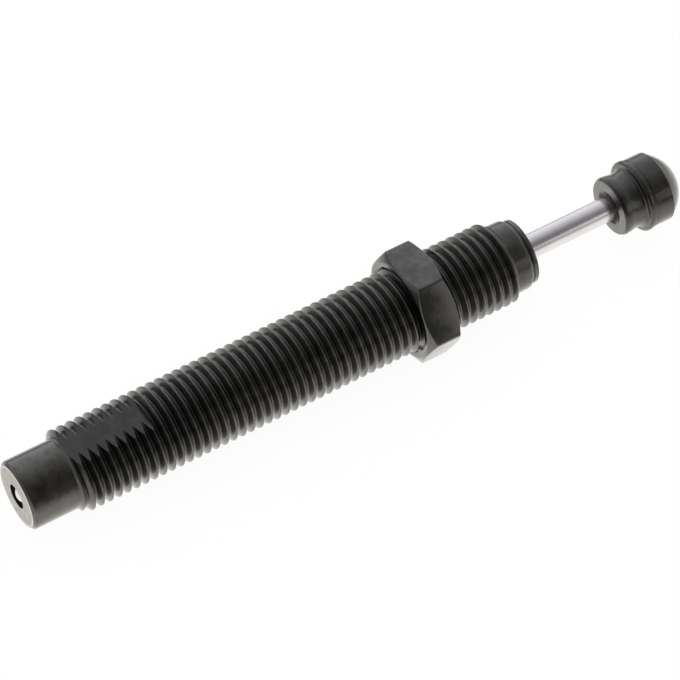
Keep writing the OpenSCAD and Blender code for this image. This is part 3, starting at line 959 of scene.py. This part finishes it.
class SHOCK_OT_stage(bpy.types.Operator):
    """Make the floor, the lamps, the world and the camera"""

    bl_idname = "shock.stage"
    bl_label = "Stage"

    def execute(self, context):
        stage = context.scene.shock_stage
        low, high = CAD_BOUNDS
        self.make_floor(context, low.z)
        centre = (low + high) / 2
        back = Vector((
            math.sin(stage.azimuth) * math.cos(stage.elevation),
            -math.cos(stage.azimuth) * math.cos(stage.elevation),
            math.sin(stage.elevation),
        ))
        self.make_world(context, Quaternion((1, 0, 0), stage.dark_tilt) @ back)
        self.make_lamps(context, centre)
        turn = (-back).to_track_quat("-Z", "Y") @ Quaternion((0, 0, 1), stage.roll)
        right, up = turn @ Vector((1, 0, 0)), turn @ Vector((0, 1, 0))
        lens = bpy.data.cameras.new("camera")
        lens.lens = stage.lens
        lens.sensor_width = 36
        lens.clip_start, lens.clip_end = 0.01, 10
        camera = bpy.data.objects.new("camera", lens)
        camera.rotation_mode = "QUATERNION"
        camera.rotation_quaternion = turn
        camera.location = back * stage.distance + right * stage.right + up * stage.up
        context.scene.collection.objects.link(camera)
        context.scene.camera = camera
        context.scene.view_settings.view_transform = "Standard"
        return {"FINISHED"}

    def make_floor(self, context, level):
        """A wide pale floor.

        The camera sees mostly its own white, and a share of the light that falls on it, so that it keeps a
        faint shadow of the absorber. Metal sees it white below the absorber and greyer to the sides.
        """
        seen_white, under, aside, camera_share = 1.01, 0.93, 0.28, 0.94
        material, tree, point = new_material("white_sweep")
        paint = add_node(tree, "BsdfDiffuse", {"Color": context.scene.shock_colours.floor}).outputs[0]
        ray = add_node(tree, "LightPath").outputs
        place_y = add_node(tree, "SeparateXYZ", (point,)).outputs["Y"]
        across = add_node(tree, "Math", (place_y,), operation="ABSOLUTE").outputs[0]
        mirrored = add_node(tree, "MapRange", (across, 5 * MM, 80 * MM, under, aside),
                            interpolation_type="SMOOTHSTEP").outputs[0]
        strength = add_node(tree, "Mix", {0: ray["Is Glossy Ray"], 2: seen_white, 3: mirrored}).outputs[0]
        colour = add_node(tree, "Mix", {0: ray["Is Glossy Ray"], 6: WHITE, 7: linear("fffdf9")},
                          data_type="RGBA").outputs[2]
        white = add_node(tree, "Emission", (colour, strength)).outputs[0]
        share = add_node(tree, "Math", (ray["Is Camera Ray"], camera_share, ray["Is Glossy Ray"]),
                         operation="MULTIPLY_ADD").outputs[0]
        both = add_node(tree, "MixShader", (share, paint, white)).outputs[0]
        add_node(tree, "OutputMaterial", {"Surface": both})
        side = 1.5
        corners = np.array([[-1, -1, 0], [1, -1, 0], [1, 1, 0], [-1, 1, 0]]) * side + np.array([0, 0, level])
        mesh = bpy.data.meshes.new("floor")
        mesh.from_pydata(corners.tolist(), [], [(0, 1, 2, 3)])
        mesh.materials.append(material)
        floor = bpy.data.objects.new("floor", mesh)
        context.scene.collection.objects.link(floor)

    def make_world(self, context, dark_side):
        """A white tent with a dark opening on the side that the camera stands on.

        Metal sees the tent: its colour goes from the opening's to the tent's in step with the cosine of the
        angle from the middle of the dark side. Everything else is lit evenly.
        """
        colours = context.scene.shock_colours
        world = bpy.data.worlds.new("tent")
        context.scene.world = world
        world.use_nodes = True
        tree = world.node_tree
        tree.nodes.clear()
        direction = add_node(tree, "TexCoord").outputs["Generated"]
        facing = add_node(tree, "VectorMath", (direction, tuple(dark_side)),
                          operation="DOT_PRODUCT").outputs["Value"]
        ray = add_node(tree, "LightPath").outputs
        all_dark, all_white = 0.9, -0.65
        share = add_node(tree, "MapRange", (facing, all_dark, all_white, 0.0, 1.0)).outputs[0]
        tent = add_node(tree, "Mix", {0: share, 6: colours.opening, 7: colours.tent},
                        data_type="RGBA").outputs[2]
        seen = add_node(tree, "Mix", {0: ray["Is Glossy Ray"], 6: WHITE, 7: tent},
                        data_type="RGBA").outputs[2]
        strength = add_node(tree, "MapRange", (ray["Is Diffuse Ray"], 0.0, 1.0, 1.0, 1.05)).outputs[0]
        background = add_node(tree, "Background", (seen, strength)).outputs[0]
        add_node(tree, "OutputWorld", {"Surface": background})

    def make_lamps(self, context, centre):
        """Two soft boxes: a wide one above and behind, and a small weak one low in front on the right."""
        for name, place_at, size, watts in (
            ("soft_box_top", (0.192, 0.192, 0.534), 0.6, 0.08),
            ("soft_box_front", (0.26, -0.35, 0.10), 0.18, 0.046),
        ):
            lamp = bpy.data.lights.new(name, "AREA")
            lamp.size = size
            lamp.energy = watts
            item = bpy.data.objects.new(name, lamp)
            item.location = centre + Vector(place_at)
            item.rotation_mode = "QUATERNION"
            item.rotation_quaternion = (centre - item.location).to_track_quat("-Z", "Y")
            context.scene.collection.objects.link(item)


class SHOCK_PT_panel(bpy.types.Panel):
    """Lists the pieces of the shock absorber"""

    bl_idname = "SHOCK_PT_panel"
    bl_label = "Shock Absorber"
    bl_space_type = "VIEW_3D"
    bl_region_type = "UI"
    bl_category = "Shock Absorber"

    def draw(self, context):
        for operator in OPERATORS:
            self.layout.operator(operator.bl_idname)
        for group in PROPERTIES:
            box = self.layout.box()
            settings = getattr(context.scene, group)
            for name in settings.bl_rna.properties.keys():
                if name not in ("rna_type", "name"):
                    box.prop(settings, name)


OPERATORS = (
    SHOCK_OT_body, SHOCK_OT_nut, SHOCK_OT_rear, SHOCK_OT_front, SHOCK_OT_rod, SHOCK_OT_button,
    SHOCK_OT_inside, SHOCK_OT_stage,
)
PROPERTIES = {
    "shock_body": BodySizes,
    "shock_nut": NutSizes,
    "shock_spring": SpringSizes,
    "shock_colours": FinishColours,
    "shock_stage": StageSizes,
}


def register():
    for cls in (*PROPERTIES.values(), *OPERATORS, SHOCK_PT_panel):
        bpy.utils.register_class(cls)
    for name, group in PROPERTIES.items():
        setattr(bpy.types.Scene, name, PointerProperty(type=group))


def unregister():
    for name in PROPERTIES:
        delattr(bpy.types.Scene, name)
    for cls in (SHOCK_PT_panel, *reversed(OPERATORS), *reversed(list(PROPERTIES.values()))):
        bpy.utils.unregister_class(cls)


def main():
    register()
    bpy.ops.shock.body()
    bpy.ops.shock.nut()
    bpy.ops.shock.rear()
    bpy.ops.shock.front()
    bpy.ops.shock.rod()
    bpy.ops.shock.button()
    bpy.ops.shock.inside()
    bpy.ops.shock.stage()


if __name__ == "__main__":
    main()
